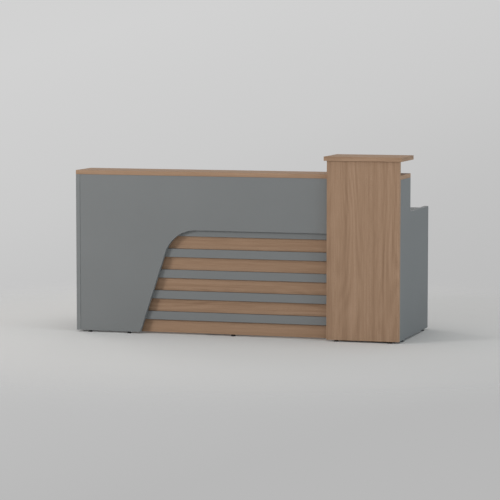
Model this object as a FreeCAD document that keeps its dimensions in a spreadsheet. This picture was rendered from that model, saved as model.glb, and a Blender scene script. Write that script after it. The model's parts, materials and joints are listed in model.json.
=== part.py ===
import FreeCAD, Part
import operator
import os

import Sketcher

# Reception desk of melamine-faced board: a raised counter along the visitor side, a front
# panel whose cut-out shows a slatted grille, a wood tower with its own cap, and on the
# staff side a worktop, cable grommets and a three-drawer pedestal.
# X runs along the desk to the tower end, -Y is the visitor side, Z is up from the floor.
# The origin is the middle of the footprint, on the floor.

os.makedirs("parts", exist_ok=True)
doc = FreeCAD.newDocument("reception_desk")
sheet = doc.addObject("Spreadsheet::Sheet", "Sizes")

SIZES = {
    # Overall
    "length": 2000,
    "depth": 730,
    "low_height": 750,
    "counter_rise": 225,
    "cap_rise": 105,
    # Boards
    "board": 25,
    "thin_board": 18,
    "box_board": 12,
    "box_base": 5,
    "running_gap": 0.3,
    # Floor glides
    "glide_height": 10,
    "glide_width": 30,
    "glide_neck": 22,
    "glide_from_end": 100,
    "front_glide_first": 83,
    "front_glide_second": 334,
    "grille_glide": 972,
    "tower_glide_inset": 58,
    "pedestal_glide_inset": 60,
    # Raised counter
    "counter_depth": 250,
    "divider_setback": 20,
    # Front panel and its cut-out
    "front_recess": 2,
    "cut_foot": 404,
    "cut_lean": 205,
    "cut_below_worktop": 87,
    "cut_round": 200,
    "cut_cover": 45,
    # Slatted grille behind the cut-out
    "slat_height": 50,
    "slat_depth": 18,
    "slat_count": 5,
    "slat_lowest": 87,
    "slat_cover": 12,
    "grille_overlap": 60,
    "backing_rise": 40,
    # Worktop, its support and its grommets
    "worktop_drop": 10,
    "support_place": 790,
    "support_depth": 300,
    "bracket_leg": 30,
    "bracket_width": 25,
    "bracket_sheet": 2,
    "bracket_hole": 5,
    "bracket_hole_place": 19,
    "bracket_from_edge": 110,
    "grommet_bore": 60,
    "grommet_rim": 68,
    "grommet_rim_height": 3,
    "grommet_wall": 2,
    "grommet_sleeve_depth": 22,
    "grommet_ledge": 2,
    "grommet_cap_height": 4,
    "grommet_from_end": 300,
    "grommet_spacing": 900,
    "grommet_from_counter": 75,
    "grommet_slot": 16,
    "grommet_slot_depth": 22,
    # Tower, its packing strips, cap and riser
    "tower_width": 435,
    "packing_width": 60,
    "packing_inset": 10,
    "cap_overhang": 15,
    "cap_depth": 300,
    "riser_inset": 100,
    "riser_depth": 220,
    # Drawer pedestal
    "pedestal_width": 400,
    "pedestal_setback": 30,
    "pedestal_behind": 138,
    "shallow_front": 160,
    "front_gap": 3,
    "front_side_gap": 2,
    "front_buffer": 1,
    "box_behind": 19,
    "box_lift": 26,
    "box_head": 54,
    "base_lift": 10,
    "base_groove": 5,
    # Drawer runners, three nested channels on each side
    "runner_space": 13,
    "runner_height": 45,
    "runner_sheet": 1.2,
    "outer_flange": 9,
    "middle_flange": 9.5,
    "runner_behind": 16,
    "runner_setback": 3,
    # Drawer handles
    "handle_span": 128,
    "handle_bar": 10,
    "handle_post": 8,
    "handle_reach": 24,
    "handle_end": 16,
    "handle_from_top": 45,
    # Lock of the top drawer, and the strike that its cam hooks behind
    "lock_body": 19,
    "lock_rim": 24,
    "lock_rim_height": 2,
    "lock_barrel": 12,
    "lock_slot_width": 2,
    "lock_slot_height": 8,
    "lock_slot_depth": 10,
    "lock_from_side": 60,
    "lock_from_top": 40,
    "lock_tail": 6,
    "lock_fit": 0.05,
    "cam_length": 21,
    "cam_width": 14,
    "cam_sheet": 2,
    "strike_width": 40,
    "strike_depth": 30,
    "strike_drop": 13,
    "strike_sheet": 1.5,
    "strike_gap": 1,
}

for row, (alias, number) in enumerate(SIZES.items(), start=1):
    sheet.set("A%d" % row, alias)
    sheet.set("B%d" % row, str(number))
    sheet.setAlias("B%d" % row, alias)
doc.recompute()


class Size:
    """A size of the sheet, or a sum of sizes: its expression and its value in millimetres."""

    def __init__(self, text, number):
        self.text = text
        self.number = number

    def _join(self, sign, other, reckon):
        """Both as one expression, with the value that goes with it."""
        if not isinstance(other, Size):
            other = Size(repr(other), other)
        text = "(%s %s %s)" % (self.text, sign, other.text)
        return Size(text, reckon(self.number, other.number))

    def __add__(self, other):
        return self._join("+", other, operator.add)

    def __sub__(self, other):
        return self._join("-", other, operator.sub)

    def __mul__(self, other):
        return self._join("*", other, operator.mul)

    def __truediv__(self, other):
        return self._join("/", other, operator.truediv)

    def __neg__(self):
        return ZERO - self


class Sheet:
    """The sheet's sizes by name."""

    def __getattr__(self, alias):
        return Size("Sizes." + alias, float(getattr(sheet, alias)))


S = Sheet()
ZERO = Size("0", 0.0)

# Datum of the desk: its plain end, the front edge of the counter, and the floor
END = -(S.length + S.cap_overhang) / 2
FRONT = (S.board + S.cap_overhang - S.depth) / 2

# Levels, as heights above the floor
WORKTOP_TOP = S.low_height - S.worktop_drop
WORKTOP_UNDER = WORKTOP_TOP - S.board
COUNTER_TOP = S.low_height + S.counter_rise
COUNTER_UNDER = COUNTER_TOP - S.board
CAP_UNDER = COUNTER_TOP + S.cap_rise - S.board
CUT_TOP = WORKTOP_UNDER - S.cut_below_worktop

# Planes back from the counter's front edge
PANEL_BACK = S.front_recess + S.board
SLAT_BACK = PANEL_BACK + S.slat_depth
BACKING_BACK = SLAT_BACK + S.thin_board
FRONTS_OUT = S.depth - S.pedestal_setback
FRONTS_IN = FRONTS_OUT - S.thin_board
CARCASS_FRONT = FRONTS_IN - S.front_buffer
CARCASS_BACK = BACKING_BACK + S.pedestal_behind
CARCASS_DEPTH = CARCASS_FRONT - CARCASS_BACK
BOX_REAR = CARCASS_BACK + S.box_board + S.box_behind
BOX_DEPTH = FRONTS_IN - BOX_REAR
RUNNER_REAR = CARCASS_BACK + S.box_board + S.runner_behind
RUNNER_LENGTH = FRONTS_IN - S.runner_setback - RUNNER_REAR

# Places along the desk
TOWER_LEFT = S.length - S.tower_width
CUT_RIGHT = TOWER_LEFT + S.cut_cover
GRILLE_LEFT = S.cut_foot - S.grille_overlap
GRILLE_RIGHT = CUT_RIGHT + S.grille_overlap
PEDESTAL_LEFT = S.length - S.board - S.pedestal_width
PEDESTAL_RIGHT = S.length - S.board
BOX_LEFT = PEDESTAL_LEFT + S.thin_board + S.runner_space
BOX_WIDTH = S.pedestal_width - (S.thin_board + S.runner_space) * 2

nodes = {}


def keep(name, shape_object):
    """Names a finished sub-part, which also names its file."""
    shape_object.Label = name
    nodes[name] = shape_object
    return shape_object


def place(thing, x, y, z):
    """Puts a thing at a place measured from the desk's datum."""
    thing.setExpression("Placement.Base.x", (END + x).text)
    thing.setExpression("Placement.Base.y", (FRONT + y).text)
    thing.setExpression("Placement.Base.z", z.text)
    return thing


def plank(name, x, y, z, along, back, up):
    """A plain rectangular board."""
    solid = doc.addObject("Part::Box", name)
    solid.setExpression("Length", along.text)
    solid.setExpression("Width", back.text)
    solid.setExpression("Height", up.text)
    return place(solid, x, y, z)


def rod(name, across, long, turn, x, y, z):
    """A round bar on the Z axis, or turned to lie along another."""
    solid = doc.addObject("Part::Cylinder", name)
    solid.Placement = FreeCAD.Placement(FreeCAD.Vector(), turn)
    solid.setExpression("Radius", (across / 2).text)
    solid.setExpression("Height", long.text)
    return place(solid, x, y, z)


ALONG_X = FreeCAD.Rotation(FreeCAD.Vector(0, 1, 0), 90)
ALONG_Y = FreeCAD.Rotation(FreeCAD.Vector(1, 0, 0), -90)
UPRIGHT = FreeCAD.Rotation()
QUARTER_ROUND = FreeCAD.Rotation(FreeCAD.Vector(0, 0, 1), 90)
HALF_ROUND = FreeCAD.Rotation(FreeCAD.Vector(0, 0, 1), 180)
HALF_TURN = FreeCAD.Rotation(FreeCAD.Vector(0, 1, 0), 180)


def new_body(name):
    return doc.addObject("PartDesign::Body", name)


def new_sketch(body, role, name):
    """A sketch on one of the body's own origin planes."""
    drawing = body.newObject("Sketcher::SketchObject", name)
    plane = [datum for datum in body.Origin.OriginFeatures if datum.Role == role][0]
    drawing.AttachmentSupport = [(plane, "")]
    drawing.MapMode = "FlatFace"
    return drawing


def pin(drawing, item, end, across, up):
    """Ties a point of the drawing to its place, measured from the sketch's origin."""
    for kind, distance in (("DistanceX", across), ("DistanceY", up)):
        index = drawing.addConstraint(
            Sketcher.Constraint(kind, -1, 1, item, end, distance.number))
        drawing.setExpression("Constraints[%d]" % index, distance.text)


def draw_outline(drawing, corners):
    """A closed outline of straight lines through the given corners."""
    first = drawing.GeometryCount
    count = len(corners)
    spots = [FreeCAD.Vector(across.number, up.number, 0) for across, up in corners]
    for i in range(count):
        drawing.addGeometry(Part.LineSegment(spots[i], spots[(i + 1) % count]))
    for i in range(count):
        drawing.addConstraint(Sketcher.Constraint(
            "Coincident", first + i, 2, first + (i + 1) % count, 1))
    for i, (across, up) in enumerate(corners):
        pin(drawing, first + i, 1, across, up)


def draw_circle(drawing, across, up, diameter):
    centre = FreeCAD.Vector(across.number, up.number, 0)
    item = drawing.addGeometry(
        Part.Circle(centre, FreeCAD.Vector(0, 0, 1), diameter.number / 2))
    pin(drawing, item, 3, across, up)
    index = drawing.addConstraint(Sketcher.Constraint("Diameter", item, diameter.number))
    drawing.setExpression("Constraints[%d]" % index, diameter.text)


def pad(body, drawing, thickness, reverse=False):
    feature = body.newObject("PartDesign::Pad", body.Name + "_pad")
    feature.Profile = drawing
    feature.setExpression("Length", thickness.text)
    feature.Reversed = reverse
    body.Tip = feature
    doc.recompute()
    return feature


def cut_through(body, drawing):
    """Cuts the drawing through the whole body, both ways from its plane."""
    before = body.Shape.Volume
    feature = body.newObject("PartDesign::Pocket", drawing.Name + "_cut")
    feature.Profile = drawing
    feature.Type = "ThroughAll"
    feature.SideType = "Symmetric"
    body.Tip = feature
    doc.recompute()
    if feature.Shape.Volume >= before:
        raise RuntimeError(feature.Name + " cuts nothing")
    return feature


def revolve(body, drawing):
    feature = body.newObject("PartDesign::Revolution", body.Name + "_turned")
    feature.Profile = drawing
    feature.ReferenceAxis = (drawing, ["V_Axis"])
    feature.Angle = 360
    body.Tip = feature
    doc.recompute()
    return feature


def group(name, master, spots):
    """Separate copies of one master piece, as one sub-part."""
    copies = []
    for number, (x, y, z, turn) in enumerate(spots, start=1):
        copy = doc.addObject("App::Link", "%s_copy_%d" % (name, number))
        copy.LinkedObject = master
        copy.Placement = FreeCAD.Placement(FreeCAD.Vector(), turn)
        copies.append(place(copy, x, y, z))
    return gather(name, copies)


def gather(name, pieces):
    """Separate solids kept together as one sub-part."""
    whole = doc.addObject("Part::Compound", name)
    whole.Links = pieces
    return keep(name, whole)


# End panels: stepped gables, high under the counter and low under the worktop
def make_end_panel(name, x):
    body = new_body(name)
    drawing = new_sketch(body, "YZ_Plane", name + "_outline")
    low = S.low_height - S.glide_height
    high = COUNTER_UNDER - S.glide_height
    draw_outline(drawing, [
        (ZERO, ZERO), (S.depth, ZERO), (S.depth, low),
        (S.counter_depth, low), (S.counter_depth, high), (ZERO, high)])
    pad(body, drawing, S.board)
    keep(name, place(body, x, ZERO, S.glide_height))


make_end_panel("left_end_panel", ZERO)
make_end_panel("right_end_panel", S.length - S.board)


# Front panel: one board with the slanted, round-shouldered cut-out, open at the floor
SAME_LINE = 1e-6


def make_front_panel():
    name = "front_panel"
    body = new_body(name)
    drawing = new_sketch(body, "XZ_Plane", name + "_outline")
    wide = S.length - S.board * 2
    high = COUNTER_UNDER - S.glide_height
    shoulder = S.cut_foot + S.cut_lean - S.board
    top = CUT_TOP - S.glide_height
    right = CUT_RIGHT - S.board
    draw_outline(drawing, [
        (ZERO, ZERO), (S.cut_foot - S.board, ZERO), (shoulder, top), (right, top),
        (right, ZERO), (wide, ZERO), (wide, high), (ZERO, high)])
    base = pad(body, drawing, S.board, reverse=True)
    corner = FreeCAD.Vector(shoulder.number, 0, top.number)
    edges = []
    for i, edge in enumerate(base.Shape.Edges, start=1):
        ends = [vertex.Point for vertex in edge.Vertexes]
        offsets = [(point - corner).cross(FreeCAD.Vector(0, 1, 0)).Length for point in ends]
        if max(offsets) < SAME_LINE:
            edges.append("Edge%d" % i)
    rounding = body.newObject("PartDesign::Fillet", name + "_shoulder")
    rounding.Base = (base, edges)
    rounding.setExpression("Radius", S.cut_round.text)
    body.Tip = rounding
    doc.recompute()
    keep(name, place(body, S.board, S.front_recess, S.glide_height))


make_front_panel()


# Grille: grey slats behind the cut-out, the top one half hidden, on a wood-faced backing
slat_count = SIZES["slat_count"]
SLAT_PITCH = (CUT_TOP + S.slat_cover - S.slat_height - S.slat_lowest) / (S.slat_count - 1)
for number in range(slat_count):
    level = S.slat_lowest + SLAT_PITCH * number
    name = "grille_slat_%d" % (number + 1)
    keep(name, plank(name, GRILLE_LEFT, PANEL_BACK, level,
                     GRILLE_RIGHT - GRILLE_LEFT, S.slat_depth, S.slat_height))
keep("grille_backing", plank(
    "grille_backing", GRILLE_LEFT, SLAT_BACK, S.glide_height,
    GRILLE_RIGHT - GRILLE_LEFT, S.thin_board,
    CUT_TOP + S.backing_rise - S.glide_height))


# Raised counter and the dividers of the open niche under it
keep("counter_board", plank(
    "counter_board", ZERO, ZERO, COUNTER_UNDER, S.length, S.counter_depth, S.board))
BAY = (S.length - S.board * 2) / 3
for number in (1, 2):
    name = "counter_divider_%d" % number
    keep(name, plank(
        name, S.board + BAY * number - S.thin_board / 2, PANEL_BACK, WORKTOP_TOP,
        S.thin_board, S.counter_depth - S.divider_setback - PANEL_BACK,
        COUNTER_UNDER - WORKTOP_TOP))


# Worktop between the end panels, bored for two cable grommets
GROMMET_BACK = S.counter_depth + S.grommet_from_counter
FIRST_GROMMET = S.grommet_from_end
SECOND_GROMMET = S.grommet_from_end + S.grommet_spacing


def make_worktop():
    name = "worktop"
    body = new_body(name)
    wide = S.length - S.board * 2
    deep = S.depth - PANEL_BACK
    drawing = new_sketch(body, "XY_Plane", name + "_outline")
    draw_outline(drawing, [(ZERO, ZERO), (wide, ZERO), (wide, deep), (ZERO, deep)])
    pad(body, drawing, S.board)
    bores = new_sketch(body, "XY_Plane", name + "_bores")
    for x in (FIRST_GROMMET, SECOND_GROMMET):
        draw_circle(bores, x - S.board, GROMMET_BACK - PANEL_BACK, S.grommet_bore)
    cut_through(body, bores)
    keep(name, place(body, S.board, PANEL_BACK, WORKTOP_UNDER))


make_worktop()
keep("worktop_support", plank(
    "worktop_support", S.support_place, BACKING_BACK, S.glide_height,
    S.board, S.support_depth, WORKTOP_UNDER - S.glide_height))


# Steel angle brackets under the worktop, with one screw hole in each leg
def make_bracket():
    body = new_body("bracket")
    drawing = new_sketch(body, "XZ_Plane", "bracket_section")
    leg = S.bracket_leg
    sheet_in = S.bracket_sheet
    draw_outline(drawing, [
        (ZERO, ZERO), (ZERO, -leg), (sheet_in, -leg), (sheet_in, -sheet_in),
        (leg, -sheet_in), (leg, ZERO)])
    pad(body, drawing, S.bracket_width, reverse=True)
    middle = S.bracket_width / 2
    level_hole = new_sketch(body, "XY_Plane", "bracket_level_hole")
    draw_circle(level_hole, S.bracket_hole_place, middle, S.bracket_hole)
    cut_through(body, level_hole)
    upright_hole = new_sketch(body, "YZ_Plane", "bracket_upright_hole")
    draw_circle(upright_hole, middle, -S.bracket_hole_place, S.bracket_hole)
    cut_through(body, upright_hole)
    return body


def bracket_spots():
    """Against the left end panel, the back of the front panel, and one face of the fin."""
    half = S.bracket_width / 2
    support_middle = BACKING_BACK + S.support_depth / 2
    spots = []
    for y in (PANEL_BACK + S.bracket_from_edge, S.depth - S.bracket_from_edge):
        spots.append((S.board, y - half, UPRIGHT))
    for x in (S.cut_foot / 2, S.board + BAY, S.board + BAY * 2):
        spots.append((x + half, PANEL_BACK, QUARTER_ROUND))
    spots.append((S.support_place + S.board, support_middle - half, UPRIGHT))
    return [(x, y, WORKTOP_UNDER, turn) for x, y, turn in spots]


group("corner_brackets", make_bracket(), bracket_spots())


# Cable grommets: a sleeve pressed in the worktop under its tapered rim, and a slotted cap
# that turns in it on a ledge
SLEEVE_OUT = S.grommet_bore / 2 - S.running_gap
SLEEVE_IN = SLEEVE_OUT - S.grommet_wall
LEDGE_TOP = S.grommet_rim_height - S.grommet_cap_height


def make_grommet_sleeve():
    body = new_body("grommet_sleeve")
    drawing = new_sketch(body, "XZ_Plane", "grommet_sleeve_profile")
    ledge_in = SLEEVE_IN - S.grommet_ledge
    draw_outline(drawing, [
        (ledge_in, -S.grommet_sleeve_depth), (SLEEVE_OUT, -S.grommet_sleeve_depth),
        (SLEEVE_OUT, ZERO), (S.grommet_rim / 2, ZERO), (SLEEVE_IN, S.grommet_rim_height),
        (SLEEVE_IN, LEDGE_TOP), (ledge_in, LEDGE_TOP)])
    revolve(body, drawing)
    return body


def make_grommet_cap():
    body = new_body("grommet_cap")
    drawing = new_sketch(body, "XZ_Plane", "grommet_cap_profile")
    reach = SLEEVE_IN - S.running_gap
    draw_outline(drawing, [
        (ZERO, LEDGE_TOP), (reach, LEDGE_TOP), (reach, S.grommet_rim_height),
        (ZERO, S.grommet_rim_height)])
    revolve(body, drawing)
    slot = new_sketch(body, "XY_Plane", "grommet_cap_slot")
    half = S.grommet_slot / 2
    draw_outline(slot, [
        (-half, reach - S.grommet_slot_depth), (half, reach - S.grommet_slot_depth),
        (half, S.grommet_rim / 2), (-half, S.grommet_rim / 2)])
    cut_through(body, slot)
    return body


sleeve = make_grommet_sleeve()
turning_cap = make_grommet_cap()
for number, x in enumerate((FIRST_GROMMET, SECOND_GROMMET), start=1):
    spot = [(x, GROMMET_BACK, WORKTOP_TOP, UPRIGHT)]
    group("grommet_sleeve_%d" % number, sleeve, spot)
    group("grommet_cap_%d" % number, turning_cap, spot)


# Tower board, proud of the front, on two thin packing strips that fill the space between it
# and the front panel
keep("tower_board", plank(
    "tower_board", TOWER_LEFT, -S.board, S.glide_height,
    S.tower_width, S.board, CAP_UNDER - S.glide_height))
strips = []
for side, x in (("left", CUT_RIGHT + S.packing_inset),
                ("right", S.length - S.board - S.packing_width)):
    strips.append(plank("packing_" + side, x, ZERO, S.glide_height,
                        S.packing_width, S.front_recess, COUNTER_UNDER - S.glide_height))
gather("tower_packing_strips", strips)


# Cap of the tower and the riser boards that carry it above the counter
RISER_HEIGHT = CAP_UNDER - COUNTER_TOP
RISER_LEFT = TOWER_LEFT + S.riser_inset
RISER_RIGHT = S.length - S.riser_inset
keep("cap_board", plank(
    "cap_board", TOWER_LEFT - S.cap_overhang, -(S.board + S.cap_overhang), CAP_UNDER,
    S.tower_width + S.cap_overhang * 2, S.cap_depth, S.board))
for side, x in (("left", RISER_LEFT), ("right", RISER_RIGHT - S.thin_board)):
    name = "cap_riser_" + side
    keep(name, plank(name, x, ZERO, COUNTER_TOP,
                     S.thin_board, S.riser_depth, RISER_HEIGHT))
keep("cap_riser_rear", plank(
    "cap_riser_rear", RISER_LEFT + S.thin_board, S.riser_depth - S.thin_board, COUNTER_TOP,
    RISER_RIGHT - RISER_LEFT - S.thin_board * 2, S.thin_board, RISER_HEIGHT))


# Floor glides: round conical feet of plastic under every board that reaches the floor
def make_glide():
    body = new_body("glide")
    drawing = new_sketch(body, "XZ_Plane", "glide_profile")
    edge = S.glide_width / 2
    draw_outline(drawing, [
        (ZERO, ZERO), (edge, ZERO), (S.glide_neck / 2, S.glide_height),
        (ZERO, S.glide_height)])
    revolve(body, drawing)
    return body


def glide_spots():
    inner = S.glide_width / 2
    rear = S.depth - S.glide_from_end
    spots = [(x, y) for x in (inner, S.length - inner) for y in (S.glide_from_end, rear)]
    for x in (S.front_glide_first, S.front_glide_second):
        spots.append((x, S.front_recess + S.board / 2))
    spots.append((S.grille_glide, SLAT_BACK + S.thin_board / 2))
    for x in (TOWER_LEFT + S.tower_glide_inset, S.length - S.tower_glide_inset):
        spots.append((x, -S.board / 2))
    spots.append((S.support_place + S.board / 2, BACKING_BACK + S.support_depth / 2))
    for y in (CARCASS_BACK + S.pedestal_glide_inset, CARCASS_FRONT - S.pedestal_glide_inset):
        spots.append((PEDESTAL_LEFT + inner, y))
    return [(x, y, ZERO, UPRIGHT) for x, y in spots]


group("floor_glides", make_glide(), glide_spots())


# Pedestal carcass, screwed to the right end panel and to the worktop
CARCASS_HEIGHT = WORKTOP_UNDER - S.glide_height
INNER_LEFT = PEDESTAL_LEFT + S.thin_board
INNER_WIDTH = S.pedestal_width - S.thin_board * 2
for side, x in (("left", PEDESTAL_LEFT), ("right", PEDESTAL_RIGHT - S.thin_board)):
    name = "pedestal_side_" + side
    keep(name, plank(name, x, CARCASS_BACK, S.glide_height,
                     S.thin_board, CARCASS_DEPTH, CARCASS_HEIGHT))
for name, level in (("pedestal_bottom", S.glide_height),
                    ("pedestal_top", WORKTOP_UNDER - S.thin_board)):
    keep(name, plank(name, INNER_LEFT, CARCASS_BACK + S.box_board, level,
                     INNER_WIDTH, CARCASS_DEPTH - S.box_board, S.thin_board))
keep("pedestal_back", plank(
    "pedestal_back", INNER_LEFT, CARCASS_BACK, S.glide_height,
    INNER_WIDTH, S.box_board, CARCASS_HEIGHT))


# Levels and heights of the three drawer fronts, from the top down
FRONT_TOP = WORKTOP_UNDER - S.front_gap
SECOND_TOP = FRONT_TOP - S.shallow_front - S.front_gap
THIRD_TOP = SECOND_TOP - S.shallow_front - S.front_gap
FRONTS = [
    (FRONT_TOP - S.shallow_front, S.shallow_front),
    (SECOND_TOP - S.shallow_front, S.shallow_front),
    (S.glide_height, THIRD_TOP - S.glide_height),
]
FRONT_LEFT = PEDESTAL_LEFT + S.front_side_gap
FRONT_WIDTH = S.pedestal_width - S.front_side_gap * 2
LOCK_X = PEDESTAL_RIGHT - S.lock_from_side
LOCK_Z = FRONT_TOP - S.lock_from_top
HANDLE_X = PEDESTAL_LEFT + S.pedestal_width / 2


def make_lock_front(name, level, tall):
    """The top drawer's front, bored for the lock."""
    body = new_body(name)
    drawing = new_sketch(body, "XZ_Plane", name + "_outline")
    draw_outline(drawing, [
        (ZERO, ZERO), (FRONT_WIDTH, ZERO), (FRONT_WIDTH, tall), (ZERO, tall)])
    pad(body, drawing, S.thin_board, reverse=True)
    bore = new_sketch(body, "XZ_Plane", name + "_lock_bore")
    draw_circle(bore, LOCK_X - FRONT_LEFT, LOCK_Z - level, S.lock_body)
    cut_through(body, bore)
    keep(name, place(body, FRONT_LEFT, FRONTS_IN, level))


def make_channel(name, tall, flange):
    """A rolled steel channel of a runner, open towards +X."""
    body = new_body(name)
    drawing = new_sketch(body, "XZ_Plane", name + "_section")
    sheet_in = S.runner_sheet
    half = tall / 2
    draw_outline(drawing, [
        (ZERO, -half), (flange, -half), (flange, sheet_in - half), (sheet_in, sheet_in - half),
        (sheet_in, half - sheet_in), (flange, half - sheet_in), (flange, half), (ZERO, half)])
    pad(body, drawing, RUNNER_LENGTH, reverse=True)
    return body


MIDDLE_HEIGHT = S.runner_height - (S.runner_sheet + S.running_gap) * 2
INNER_HEIGHT = MIDDLE_HEIGHT - (S.runner_sheet + S.running_gap) * 2
MIDDLE_OUT = S.runner_sheet + S.running_gap
INNER_FLANGE = S.runner_space - MIDDLE_OUT - S.runner_sheet - S.running_gap * 2
outer_channel = make_channel("outer_channel", S.runner_height, S.outer_flange)
middle_channel = make_channel("middle_channel", MIDDLE_HEIGHT, S.middle_flange)
inner_channel = make_channel("inner_channel", INNER_HEIGHT, INNER_FLANGE)


def make_runners(number, level):
    """A drawer's moving runner members: middle ones, and the slides screwed to its box."""
    y = RUNNER_REAR
    left = INNER_LEFT
    right = INNER_LEFT + INNER_WIDTH
    space = S.runner_space
    rail_spots.append((left, y, level, UPRIGHT))
    rail_spots.append((right, y, level, HALF_TURN))
    group("runner_middles_%d" % number, middle_channel, [
        (left + MIDDLE_OUT, y, level, UPRIGHT), (right - MIDDLE_OUT, y, level, HALF_TURN)])
    group("runner_slides_%d" % number, inner_channel, [
        (left + space, y, level, HALF_TURN), (right - space, y, level, UPRIGHT)])


def make_grooved(name, role, long, tall, reverse=False):
    """A board of a drawer box, with the groove for the base in its inner face."""
    body = new_body(name)
    drawing = new_sketch(body, role, name + "_section")
    groove_in = S.box_board - S.base_groove
    groove_top = S.base_lift + S.box_base
    draw_outline(drawing, [
        (ZERO, ZERO), (S.box_board, ZERO), (S.box_board, S.base_lift),
        (groove_in, S.base_lift), (groove_in, groove_top), (S.box_board, groove_top),
        (S.box_board, tall), (ZERO, tall)])
    pad(body, drawing, long, reverse=reverse)
    return body


def make_box(number, level, tall):
    """A drawer box: two sides, two ends between them, and a thin base let into all four."""
    name = "drawer_%d" % number
    rear = BOX_REAR
    ends_in = BOX_LEFT + S.box_board
    side = make_grooved(name + "_side", "XZ_Plane", BOX_DEPTH, tall, reverse=True)
    group(name + "_sides", side, [
        (BOX_LEFT, rear, level, UPRIGHT),
        (BOX_LEFT + BOX_WIDTH, rear + BOX_DEPTH, level, HALF_ROUND)])
    end = make_grooved(name + "_end", "YZ_Plane", BOX_WIDTH - S.box_board * 2, tall)
    group(name + "_ends", end, [
        (ends_in, rear, level, UPRIGHT),
        (ends_in + BOX_WIDTH - S.box_board * 2, FRONTS_IN, level, HALF_ROUND)])
    inset = S.box_board - S.base_groove
    keep(name + "_base", plank(
        name + "_base", BOX_LEFT + inset, rear + inset, level + S.base_lift,
        BOX_WIDTH - inset * 2, BOX_DEPTH - inset * 2, S.box_base))


def make_handle(number, level):
    """A bar handle on two posts."""
    name = "handle_%d" % number
    far = FRONTS_OUT + S.handle_reach
    bar_long = S.handle_span + S.handle_end * 2
    pieces = [rod(name + "_bar", S.handle_bar, bar_long, ALONG_X,
                  HANDLE_X - bar_long / 2, far, level)]
    for side, shift in (("left", -S.handle_span / 2), ("right", S.handle_span / 2)):
        pieces.append(rod("%s_post_%s" % (name, side), S.handle_post, S.handle_reach, ALONG_Y,
                          HANDLE_X + shift, FRONTS_OUT, level))
    whole = doc.addObject("Part::MultiFuse", name)
    whole.Shapes = pieces
    keep(name, whole)


rail_spots = []
for number, (level, tall) in enumerate(FRONTS, start=1):
    name = "drawer_front_%d" % number
    box_tall = tall - S.box_lift - S.box_head
    if number == 1:
        make_lock_front(name, level, tall)
    else:
        keep(name, plank(name, FRONT_LEFT, FRONTS_IN, level, FRONT_WIDTH, S.thin_board, tall))
    make_box(number, level + S.box_lift, box_tall)
    make_runners(number, level + S.box_lift + box_tall / 2)
    make_handle(number, level + tall - S.handle_from_top)
group("runner_rails", outer_channel, rail_spots)


# Lock of the top drawer: a rimmed body in the front, and a barrel that turns its cam
def make_lock_body():
    name = "lock_body"
    body = new_body(name)
    drawing = new_sketch(body, "XZ_Plane", name + "_profile")
    bore = S.lock_barrel / 2 + S.lock_fit
    outside = S.lock_body / 2
    draw_outline(drawing, [
        (bore, -S.thin_board), (outside, -S.thin_board), (outside, ZERO),
        (S.lock_rim / 2, ZERO), (S.lock_rim / 2, S.lock_rim_height), (bore, S.lock_rim_height)])
    revolve(body, drawing)
    return body


def make_lock_barrel():
    name = "lock_barrel"
    body = new_body(name)
    drawing = new_sketch(body, "XZ_Plane", name + "_profile")
    radius = S.lock_barrel / 2
    inner = -(S.thin_board + S.lock_tail)
    draw_outline(drawing, [
        (ZERO, inner), (radius, inner), (radius, S.lock_rim_height), (ZERO, S.lock_rim_height)])
    revolve(body, drawing)
    keyway = new_sketch(body, "XY_Plane", name + "_keyway")
    keyway.setExpression("AttachmentOffset.Base.z", S.lock_rim_height.text)
    half = S.lock_slot_width / 2
    up = S.lock_slot_height / 2
    draw_outline(keyway, [(-half, -up), (half, -up), (half, up), (-half, up)])
    before = body.Shape.Volume
    slot = body.newObject("PartDesign::Pocket", name + "_slot")
    slot.Profile = keyway
    slot.setExpression("Length", S.lock_slot_depth.text)
    body.Tip = slot
    doc.recompute()
    if slot.Shape.Volume >= before:
        raise RuntimeError(slot.Name + " cuts nothing")
    return body


def make_lock_cam():
    name = "lock_cam"
    body = new_body(name)
    drawing = new_sketch(body, "XY_Plane", name + "_outline")
    half = S.cam_width / 2
    draw_outline(drawing, [
        (-half, -half), (S.cam_length, -half), (S.cam_length, half), (-half, half)])
    pad(body, drawing, S.cam_sheet)
    return body


def make_strike():
    """A bent steel angle screwed under the pedestal's top, open towards the back."""
    name = "lock_strike"
    body = new_body(name)
    drawing = new_sketch(body, "YZ_Plane", name + "_section")
    sheet_in = S.strike_sheet
    draw_outline(drawing, [
        (ZERO, ZERO), (ZERO, -S.strike_drop), (-sheet_in, -S.strike_drop),
        (-sheet_in, -sheet_in), (-S.strike_depth, -sheet_in), (-S.strike_depth, ZERO)])
    pad(body, drawing, S.strike_width)
    keep(name, place(body, LOCK_X - S.strike_width / 2, CAM_OUT + S.strike_gap + sheet_in,
                     WORKTOP_UNDER - S.thin_board))


CAM_OUT = FRONTS_IN - S.lock_tail
make_strike()
OUTWARD = FreeCAD.Rotation(FreeCAD.Vector(1, 0, 0), -90)
group("lock_body", make_lock_body(), [(LOCK_X, FRONTS_OUT, LOCK_Z, OUTWARD)])
group("lock_barrel", make_lock_barrel(), [(LOCK_X, FRONTS_OUT, LOCK_Z, OUTWARD)])
group("lock_cam", make_lock_cam(), [
    (LOCK_X, CAM_OUT - S.cam_sheet, LOCK_Z, OUTWARD)])


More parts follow.
